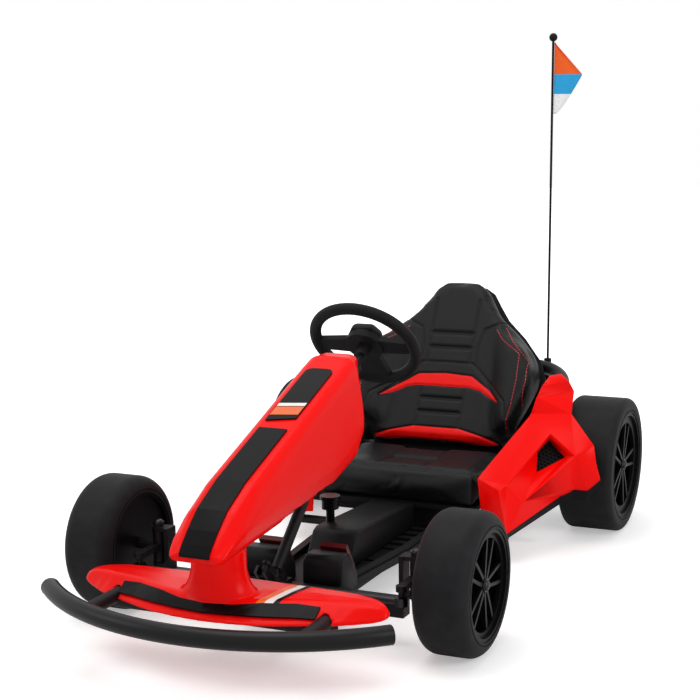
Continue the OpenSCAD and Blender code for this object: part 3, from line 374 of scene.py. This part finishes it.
SEAT_LEATHERETTE = leatherette("black_and_red_leatherette", "0C0C0E", "F40C08")
THREAD = vinyl("red_polyester_thread", "C41A18")
ORANGE_FILM = vinyl("orange_vinyl_film", "F26A1E")
WHITE_FILM = vinyl("white_vinyl_film", "F2F2EE")
FLAG_ORANGE = woven_cloth("orange_flag_polyester", "F0611F")
FLAG_BLUE = woven_cloth("sky_blue_flag_polyester", "2BA3DC")
FLAG_WHITE = woven_cloth("white_flag_polyester", "F0F1F2")
print("soft materials ready")

# %% [markdown]
# ## Finishes for the rigid parts
#
# Most CAD parts keep their exact meshes and only need the right finish, so a table pairs each
# with its material.

# %% Paint the rigid parts
FINISHES = {
    RED_ABS: ["nose_cone", "front_wing", "side_pod_left", "side_pod_right"],
    BLACK_ABS: ["nose_panel", "number_plate", "wing_strip", "selector_knob"],
    TRAY_PLASTIC: ["floor_pan", "battery_box", "seat_shell", "pod_skirts", "pod_grilles"],
    COVER_PLASTIC: ["console", "pedal_housings", "drive_units", "steering_pad", "flag_socket", "flag_pole"],
    RIM_ABS: [f"{end}_rim_{side}" for end in ("front", "rear") for side in ("left", "right")],
    TYRE_FOAM: [f"{end}_tyre_{side}" for end in ("front", "rear") for side in ("left", "right")],
    GRIP_FOAM: ["steering_rim"],
    TUBE_COAT: ["bumper_bar", "rear_hoop"],
    FRAME_COAT: ["front_subframe", "front_beam", "frame_rails", "knuckle_left", "knuckle_right",
                 "column_jacket", "steering_shaft"],
    BLACK_ZINC: ["track_rod", "rear_axle"],
    PEDAL_COAT: ["pedals"],
    SEAT_LEATHERETTE: ["seat_cushion", "seat_back", "seat_wings"],
    FLAG_ORANGE: ["flag"],
}
for material, names in FINISHES.items():
    for name in names:
        for place in NODES[name].material_slots:
            place.material = material
print("painted nodes:", sum(len(names) for names in FINISHES.values()))

# %% [markdown]
# ## Softer edges for the mouldings
#
# A moulded shell has no sharp edge: plastic can't fill one, and the tool's corners are rounded by a
# few millimetres. The CAD solids meet in plain creases, so the nose and the wing are copied, rebuilt
# as an even net of small squares, and relaxed: flat faces stay flat, and only the creases round
# off. The side pods' walls are too thin for such a net, so their copies get a narrow bevel instead.

# %% Copying and finishing helpers
def copy_nodes(name, *nodes):
    """One new object with the merged meshes of CAD nodes, their loose triangles joined up."""
    shape = bmesh.new()
    for node in nodes:
        shape.from_mesh(NODES[node].data)
    bmesh.ops.remove_doubles(shape, verts=shape.verts, dist=0.01 * MM)
    return as_object(name, shape)


def as_object(name, shape, *materials):
    """Turns a bmesh into an object at the origin and frees it."""
    mesh = bpy.data.meshes.new(name)
    shape.to_mesh(mesh)
    shape.free()
    piece = bpy.data.objects.new(name, mesh)
    bpy.context.scene.collection.objects.link(piece)
    for material in materials:
        mesh.materials.append(material)
    return piece


def settle(piece):
    """Applies a piece's modifiers to its mesh."""
    bpy.context.view_layer.update()
    seen = piece.evaluated_get(bpy.context.evaluated_depsgraph_get())
    mesh = bpy.data.meshes.new_from_object(seen)
    piece.modifiers.clear()
    piece.data = mesh
    return mesh


def relax(piece, net_mm, rounds, give_back=0.62):
    """Rebuilds a piece as a net of squares of net_mm, and smooths it for some rounds.

    Each round pulls every point towards its neighbours, then pushes it back by give_back, so
    creases wear down and thin edges keep their place. With 0 the whole shape grows rounder."""
    remesh = piece.modifiers.new("net", "REMESH")
    remesh.mode = "VOXEL"
    remesh.voxel_size = net_mm * MM
    settle(piece)
    mesh = piece.data
    place = np.empty(len(mesh.vertices) * 3, np.float64)
    mesh.vertices.foreach_get("co", place)
    place = place.reshape(-1, 3)
    ends = np.empty(len(mesh.edges) * 2, np.int32)
    mesh.edges.foreach_get("vertices", ends)
    a, b = ends.reshape(-1, 2).T
    count = np.bincount(ends, minlength=len(place))[:, None]
    for share in (0.6, -give_back) * rounds:
        total = np.stack([
            np.bincount(a, place[b, k], len(place)) + np.bincount(b, place[a, k], len(place))
            for k in range(3)], axis=1)
        place += share * (total / count - place)
    mesh.vertices.foreach_set("co", place.ravel())
    mesh.update()


def round_edges(piece, width_mm):
    """Joins a piece's flat triangles into whole faces and bevels the creases between them."""
    shape = bmesh.new()
    shape.from_mesh(piece.data)
    bmesh.ops.dissolve_limit(shape, angle_limit=math.radians(1), verts=shape.verts, edges=shape.edges)
    shape.to_mesh(piece.data)
    shape.free()
    bevel = piece.modifiers.new("moulded edges", "BEVEL")
    bevel.width = width_mm * MM
    bevel.segments = 3
    bevel.limit_method = "ANGLE"
    bevel.angle_limit = math.radians(12)
    bevel.harden_normals = True
    settle(piece)


def smooth_faces(piece):
    for face in piece.data.polygons:
        face.use_smooth = True


def finish_piece(piece, body, slot_name, *nodes):
    """Declares where a piece rides and hides the CAD nodes that it stands for. slot_name is not used."""
    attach(piece, body)
    if nodes:
        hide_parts(*nodes)


print("helpers ready")

# %% Red mouldings
for node, net_mm, rounds in (("nose_cone", 2.4, 60), ("front_wing", 2.4, 60),
                             ("side_pod_left", None, None), ("side_pod_right", None, None)):
    moulding = copy_nodes(f"{node}_moulding", node)
    if net_mm:
        relax(moulding, net_mm, rounds)
    else:
        round_edges(moulding, 3.0)
    moulding.data.materials.clear()
    moulding.data.materials.append(RED_ABS)
    smooth_faces(moulding)
    finish_piece(moulding, "root", "red_body", node)
    print(moulding.name, len(moulding.data.polygons), "faces")

# %% [markdown]
# The steering pad, the tunnel and the pedal housings are moulded with generous radii, because hands
# and shoes rub on them. They get the same bevel as the pods, and keep their grained finish.

# %% Black mouldings
for node, body, width_mm in (("steering_pad", "steering", 4.0), ("console", "root", 5.0),
                             ("pedal_housings", "root", 5.0)):
    moulding = copy_nodes(f"{node}_moulding", node)
    round_edges(moulding, width_mm)
    moulding.data.materials.clear()
    moulding.data.materials.append(COVER_PLASTIC)
    smooth_faces(moulding)
    finish_piece(moulding, body, "black_moulding", node)
    print(moulding.name, len(moulding.data.polygons), "faces")

# %% [markdown]
# Behind each honeycomb grille a plain black sheet closes the pod, so that nobody looks through the
# cells at the floor. It is painted shade, standing for the dark hollow inside the pod. Its outline is the
# grille's own: the hull of the grille's points is a solid plate of the same size, and it is moved inwards by its
# thickness.

# %% Painted shade behind the grilles
POD_TILT = math.radians(45.5)
POD_TURN = math.radians(-56.6)
SHADE_SHEET_SET_IN = 3.6 * MM
for side, sign in (("left", 1), ("right", -1)):
    inwards = -Vector((sign * math.sin(POD_TILT) * math.cos(POD_TURN),
                       math.sin(POD_TILT) * math.sin(POD_TURN), math.cos(POD_TILT)))
    plate = bmesh.new()
    plate.from_mesh(NODES["pod_grilles"].data)
    other = [v for v in plate.verts if v.co.x * sign < 0]
    bmesh.ops.delete(plate, geom=other, context="VERTS")
    hull = bmesh.ops.convex_hull(plate, input=plate.verts)
    kept = {f for f in hull["geom"] if isinstance(f, bmesh.types.BMFace)}
    bmesh.ops.delete(plate, geom=[f for f in plate.faces if f not in kept], context="FACES")
    bmesh.ops.translate(plate, verts=plate.verts, vec=inwards * SHADE_SHEET_SET_IN)
    bmesh.ops.recalc_face_normals(plate, faces=plate.faces)
    # a black sheet of painted shade, standing for the dark hollow inside the pod behind the grille
    painted_shade_sheet = as_object(f"grille_painted_shade_sheet_{side}", plate, TRAY_PLASTIC)
    finish_piece(painted_shade_sheet, "root", "black_moulding")
    print(painted_shade_sheet.name, len(painted_shade_sheet.data.polygons), "faces")

# %% [markdown]
# ## Padded seat
#
# The seat is one leatherette cover over foam: a cushion, a back with sewn ribs down the middle, and
# a bolster on each side, with two red stripes across. The CAD holds it as plain solids. Their
# copies are joined by one remesh, relaxed until the foam's corners are round, and blown up a few
# millimetres by a cloth simulation with air pressure inside, which gives the tight crowned look of
# a stuffed cover. The seams come last, because a remesh would wipe them out.
#
# Places on the seat are given as across, along: millimetres from the middle, and up the back from
# its foot. In front of the foot the same lines run on over the cushion with negative numbers.

# %% Places on the seat
BACK_LEAN = math.radians(29.5)
BACK_FOOT = Vector((0, REAR_Y - 114.5, 182)) * MM
UP_BACK = Vector((0, math.sin(BACK_LEAN), math.cos(BACK_LEAN)))
INTO_BACK = Vector((0, math.cos(BACK_LEAN), -math.sin(BACK_LEAN)))
CUSHION_TOP = 190 * MM
CUSHION_PLAN = [(-212, -78), (-195, -62), (-106, -44), (-36, -19), (-3, 0)]


def between(table, value):
    """Reads a table of pairs at a value, straight from one pair to the next."""
    table = sorted(table)
    for (a, low), (b, high) in zip(table, table[1:]):
        if value <= b:
            return low + (high - low) * max(0.0, (value - a) / (b - a))
    return table[-1][1]


def seat_place(point):
    """Across and along in mm for a point on the seat, and True where it is on the cushion."""
    rel = point - BACK_FOOT
    if point.z < CUSHION_TOP and rel.y < -3 * MM:
        behind_front = rel.y / MM
        return point.x / MM, between(CUSHION_PLAN, behind_front), True
    return point.x / MM, rel.dot(UP_BACK) / MM, False


print("back's foot at", tuple(round(c, 3) for c in BACK_FOOT))

# %% [markdown]
# The seams are lines on that flat plan, with their width and depth. A stitched seam pulls the
# cover in by 3 mm over a narrow band, and a rib channel is broader. For a point of the mesh, the
# nearest line of each kind says how far it is pulled in.

# %% Seams and stripes on the plan
SEAM = (4.0, 3.2)
CHANNEL = (8.0, 4.6)
HALF_SEAMS = [
    (SEAM, [(49, 176), (49, 322)]), (SEAM, [(49, 29), (49, 122)]), (SEAM, [(49, -58), (49, -1)]),
    (CHANNEL, [(0, 245), (47, 245)]), (CHANNEL, [(0, 212), (47, 212)]), (SEAM, [(0, 178), (57, 177)]),
    (CHANNEL, [(0, 96), (47, 96)]), (CHANNEL, [(0, 65), (47, 65)]),
    (CHANNEL, [(0, -19), (47, -19)]), (CHANNEL, [(0, -44), (47, -44)]),
    (SEAM, [(57, 177), (90, 145), (122, 101)]),
    (SEAM, [(0, 153), (60, 149), (102, 121), (132, 88)]), (SEAM, [(0, 123), (60, 123), (85, 117), (132, 88)]),
    (SEAM, [(0, 31), (52, 31), (92, 21), (140, 6)]), (SEAM, [(0, 5), (45, 5), (73, 4), (140, 1)]),
    (SEAM, [(112, 276), (71, 255), (62, 212), (66, 173), (151, 86), (165, 30)]),
    (SEAM, [(0, -62), (165, -62)]),
]
STRIPES = [
    ([(0, 153), (60, 149), (102, 121), (134, 86)], [(0, 123), (60, 123), (85, 117), (134, 86)]),
    ([(0, 31), (52, 31), (92, 21), (142, 6)], [(0, 5), (45, 5), (73, 4), (142, 1)]),
]


def off_line(x, v, line):
    """Distance in mm from a place on the plan to a line of points."""
    here = Vector((x, v))
    best = 1e9
    for a, b in zip(line, line[1:]):
        a, b = Vector(a), Vector(b)
        share = max(0.0, min(1.0, (here - a).dot(b - a) / (b - a).length_squared))
        best = min(best, (here - a - share * (b - a)).length)
    return best


def pull(x, v):
    """How far the seams pull the cover in at a place, in mm."""
    deepest = 0.0
    for (width, depth), line in HALF_SEAMS:
        away = off_line(abs(x), v, line)
        if away < 2.5 * width:
            deepest = max(deepest, depth * math.exp(-(2.0 * away / width) ** 2))
    return deepest


def in_stripe(x, v):
    """Above 0.5 inside a red stripe, on a ramp 4 mm wide."""
    inside = max(min(between(top, abs(x)) - v, v - between(low, abs(x)), 141 - abs(x)) for top, low in STRIPES)
    return max(0.0, min(1.0, 0.5 + inside / 4))


print("seams:", len(HALF_SEAMS), "stripes:", len(STRIPES))

# %% Foam and cover
seat = copy_nodes("seat_cover", "seat_cushion", "seat_back", "seat_wings")
relax(seat, 5.0, 16, 0)
seat.data.materials.clear()
seat.data.materials.append(SEAT_LEATHERETTE)
before = [vertex.co.copy() for vertex in seat.data.vertices]
SWELL = 5 * MM
air = seat.modifiers.new("air", "CLOTH")
air.settings.use_pressure = True
air.settings.uniform_pressure_force = 4
air.settings.effector_weights.gravity = 0
for step in range(1, 15):
    bpy.context.scene.frame_set(step)
settle(seat)
bpy.context.scene.frame_set(1)
for vertex, start in zip(seat.data.vertices, before):
    move = vertex.co - start
    if move.length > SWELL:
        vertex.co = start + move.normalized() * SWELL
print("cover:", len(seat.data.vertices), "points")

# %% Sewn seams and dyed stripes
fine = seat.modifiers.new("finer net", "SUBSURF")
fine.levels = fine.render_levels = 1
settle(seat)
stripe = seat.data.attributes.new("stripe", "FLOAT", "POINT")
normals = [vertex.normal.copy() for vertex in seat.data.vertices]
for vertex, normal in zip(seat.data.vertices, normals):
    x, v, on_cushion = seat_place(vertex.co)
    facing = normal.z if on_cushion else -normal.dot(INTO_BACK)
    if facing > 0.25:
        vertex.co -= normal * pull(x, v) * MM * min(1.0, 2 * facing)
        stripe.data[vertex.index].value = 0.0 if on_cushion else in_stripe(x, v)
smooth_faces(seat)
finish_piece(seat, "root", "leatherette", "seat_cushion", "seat_back", "seat_wings")
print("seat cover:", len(seat.data.polygons), "faces")

# %% [markdown]
# ## Red stitching
#
# The bolsters are top-stitched with thick red thread, about four stitches to 30 mm. Each stitch is
# a short rod laid between two points of the cover, found by looking at the cover from in front.

# %% Stitches
STITCH_LINES = [
    [(99, 255), (121, 227), (170, 190), (173, 129), (170, 78), (160, 26)],
    [(117, 262), (146, 222), (190, 177), (191, 133), (186, 70)],
]
STITCH_STEP = 7.0
THREAD_R = 0.9
seat_skin = BVHTree.FromPolygons([v.co for v in seat.data.vertices], [f.vertices for f in seat.data.polygons])


def spaced(line, step):
    """Points along a line of points, about step apart."""
    for a, b in zip(line, line[1:]):
        a, b = Vector(a), Vector(b)
        count = max(1, round((b - a).length / step))
        for i in range(count):
            yield a + (b - a) * i / count


def on_cover(x, v):
    """The point of the cover's front that lies over a place on the plan, or None."""
    start = BACK_FOOT + Vector((x, 0, 0)) * MM + UP_BACK * v * MM - INTO_BACK * 0.2
    hit, _, _, _ = seat_skin.ray_cast(start, INTO_BACK, 0.3)
    return hit


def add_rod(shape, a, b, radius, sides=6):
    """A round rod from a to b in a bmesh."""
    turn = (b - a).to_track_quat("Z", "Y").to_matrix().to_4x4()
    bmesh.ops.create_cone(shape, cap_ends=True, segments=sides, radius1=radius, radius2=radius,
                          depth=(b - a).length, matrix=Matrix.Translation((a + b) / 2) @ turn)


stitching = bmesh.new()
for line in STITCH_LINES:
    for side in (-1, 1):
        holes = [on_cover(side * p.x, p.y) for p in spaced(line, STITCH_STEP)]
        for a, b in zip(holes, holes[1:]):
            if a and b and (b - a).length < 3 * STITCH_STEP * MM:
                add_rod(stitching, a.lerp(b, 0.1), a.lerp(b, 0.78), THREAD_R * MM)
stitches = as_object("seat_stitching", stitching, THREAD)
finish_piece(stitches, "root", "leatherette")
print("stitching:", len(stitches.data.polygons), "faces")

# %% [markdown]
# ## Flag
#
# The pennant is a small printed polyester flag in three bands. It hangs from the pole in slow
# ripples that grow towards its tip, so it is modelled as a grid and shaped row by row: each row
# runs from the pole to the pennant's edge, and a sine wave moves it sideways.

# %% Pennant
POLE = middle_of("flag_pole")
HOIST_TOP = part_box("flag")[1][2]
HOIST_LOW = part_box("flag")[0][2]
FLY = 58 * MM
FLAG_TURN = math.radians(18)
TIP_SHARE = 0.55
FLAG_BANDS = [(0.0, 0.28, FLAG_WHITE), (0.28, 0.56, FLAG_BLUE), (0.56, 1.0, FLAG_ORANGE)]
COLUMNS = 14
ROWS = 36


def flag_reach(share):
    """How far the flag reaches from the pole at a share of its height."""
    if share > TIP_SHARE:
        return max(0.03, (1 - share) / (1 - TIP_SHARE)) * FLY
    return (0.08 + 0.92 * (share / TIP_SHARE) ** 0.8) * FLY


cloth = bmesh.new()
bmesh.ops.create_grid(cloth, x_segments=COLUMNS, y_segments=ROWS, size=0.5)
for vertex in cloth.verts:
    out, up = vertex.co.x + 0.5, vertex.co.y + 0.5
    reach = out * flag_reach(up)
    sway = 3.0 * MM * out * math.sin(7.0 * out + 3.4 * up)
    along = Vector((math.cos(FLAG_TURN), math.sin(FLAG_TURN), 0))
    across = Vector((-math.sin(FLAG_TURN), math.cos(FLAG_TURN), 0))
    foot = Vector((POLE.x, POLE.y, HOIST_LOW + up * (HOIST_TOP - HOIST_LOW)))
    vertex.co = foot + along * (reach + 2.9 * MM) + across * sway
for face in cloth.faces:
    share = (face.calc_center_median().z - HOIST_LOW) / (HOIST_TOP - HOIST_LOW)
    face.material_index = [i for i, (low, high, _) in enumerate(FLAG_BANDS) if low <= share <= high][0]
flat_area = sum(face.calc_area() for face in cloth.faces)
pennant = as_object("flag_cloth", cloth, *(material for _, _, material in FLAG_BANDS))
thick = pennant.modifiers.new("cloth thickness", "SOLIDIFY")
thick.thickness = 0.5 * MM
thick.offset = 0
smooth_faces(pennant)
finish_piece(pennant, "root", "flag_cloth", "flag")
print("flag area", round(flat_area * 1e4, 1), "cm2")

# %% [markdown]
# ## Stripes of vinyl film
#
# Cut film in orange, white and black crosses the wing, and orange and white cross the number plate.
# A film lies on its moulding like a skin, so each strip starts as a flat grid above the surface and
# is dropped on it point by point.

# %% Film dropped on a surface
def film(name, surface, corners, material, towards, lift_mm=0.35):
    """A strip of film on a surface: corners go round it, and it is dropped along towards."""
    skin = BVHTree.FromObject(surface, bpy.context.evaluated_depsgraph_get())
    sheet = bmesh.new()
    bmesh.ops.create_grid(sheet, x_segments=8, y_segments=24, size=0.5)
    a, b, c, d = (Vector(corner) * MM for corner in corners)
    towards = Vector(towards).normalized()
    for vertex in sheet.verts:
        u, w = vertex.co.x + 0.5, vertex.co.y + 0.5
        over = a.lerp(b, u).lerp(d.lerp(c, u), w)
        hit, _, _, _ = skin.ray_cast(over, towards, 0.3)
        vertex.co = (hit if hit else over) - towards * lift_mm * MM
    bmesh.ops.recalc_face_normals(sheet, faces=sheet.faces)
    strip = as_object(name, sheet, material)
    smooth_faces(strip)
    finish_piece(strip, "root", "gloss_trim")
    return strip


wing_skin = bpy.data.objects["front_wing_moulding"]
WING_FILMS = [("orange", 78, 90, ORANGE_FILM), ("white", 90, 102, WHITE_FILM), ("black", 102, 110, BLACK_ABS)]
for colour, near, far, material in WING_FILMS:
    film(f"wing_film_{colour}", wing_skin, [
        (near, FRONT_Y - 247, 200), (far, FRONT_Y - 247, 200),
        (far + 16, FRONT_Y - 150, 200), (near + 16, FRONT_Y - 150, 200)], material, (0, 0, -1))

plate = NODES["number_plate"]
PLATE_LOW, PLATE_HIGH = (Vector(corner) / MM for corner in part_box("number_plate"))
NOSE_SLOPE = math.radians(20.4)
PLATE_FILMS = [("orange", 16, 42, ORANGE_FILM), ("white", 44, 54, WHITE_FILM)]
for colour, near, far, material in PLATE_FILMS:
    y_near = PLATE_LOW.y + near * math.cos(NOSE_SLOPE)
    y_far = PLATE_LOW.y + far * math.cos(NOSE_SLOPE)
    film(f"plate_film_{colour}", plate, [
        (-25, y_near, 420), (25, y_near + 6, 420), (25, y_far + 6, 420), (-25, y_far, 420)], material, (0, 0, -1))
print("films:", len(WING_FILMS) + len(PLATE_FILMS))

# %% [markdown]
# ## Bolts, hub caps and end caps
#
# Dome-headed bolts hold the wheels and kingpins, and plastic caps close the bumper tube. A
# dome is half a low sphere on a thin washer, cut from a sphere by a plane and made flatter.

# %% Fasteners
def dome_bolt(shape, place, direction, radius_mm, height_mm):
    """A washer with a domed head on it, at a place, pointing in a direction."""
    turn = Vector(direction).to_track_quat("Z", "Y").to_matrix().to_4x4()
    at = Matrix.Translation(place) @ turn
    r = radius_mm * MM
    bmesh.ops.create_cone(shape, cap_ends=True, segments=28, radius1=r * 1.3, radius2=r * 1.25,
                          depth=1.4 * MM, matrix=at @ Matrix.Translation((0, 0, 0.7 * MM)))
    dome = bmesh.ops.create_uvsphere(shape, u_segments=24, v_segments=12, radius=r, matrix=at)
    low = [v for v in dome["verts"] if (at.inverted() @ v.co).z < -1e-6]
    bmesh.ops.delete(shape, geom=low, context="VERTS")
    rest = [v for v in dome["verts"] if v.is_valid]
    bmesh.ops.scale(shape, verts=rest, vec=(1, 1, height_mm / radius_mm), space=at.inverted())
    bmesh.ops.translate(shape, verts=rest, vec=at.to_3x3() @ Vector((0, 0, 1.3 * MM)))
    rim = [e for v in rest for e in v.link_edges if e.is_boundary]
    bmesh.ops.edgeloop_fill(shape, edges=list(set(rim)))


def fasteners(name, body, places, material, slot_name):
    """A piece of dome bolts on one body: each place, direction, radius and height."""
    shape = bmesh.new()
    for place, direction, radius_mm, height_mm in places:
        dome_bolt(shape, Vector(place), direction, radius_mm, height_mm)
    bmesh.ops.recalc_face_normals(shape, faces=shape.faces)
    piece = as_object(name, shape, material)
    finish_piece(piece, body, slot_name)
    return piece


for end, short in (("front", "f"), ("rear", "r")):
    for side, sign, letter in (("left", 1, "l"), ("right", -1, "r")):
        low, high = (Vector(corner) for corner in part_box(f"{end}_rim_{side}"))
        hub = (low + high) / 2
        wheel = middle_of(f"{end}_tyre_{side}")
        outer = (high.x if sign > 0 else low.x) - sign * 6.2 * MM
        fasteners(f"{end}_hub_bolt_{side}", f"wheel_{short}{letter}",
                  [((outer, wheel.y, wheel.z), (sign, 0, 0), 9, 5)], BLACK_ZINC, "bright_steel")
KINGPIN_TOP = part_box("front_beam")[1][2]
fasteners("kingpin_caps", "root", [((s * 0.245, FRONT_Y * MM, KINGPIN_TOP), (0, 0, 1), 8, 4) for s in (-1, 1)],
          BLACK_ZINC, "bright_steel")
caps = bmesh.new()
for s in (-1, 1):
    dome_bolt(caps, Vector((s * 303.2, FRONT_Y - 244.9, 110)) * MM, (s * 0.725, 0.688, 0), 12, 3)
bmesh.ops.recalc_face_normals(caps, faces=caps.faces)
finish_piece(as_object("bumper_end_caps", caps, COVER_PLASTIC), "root", "black_moulding")
print("bolts and caps done")
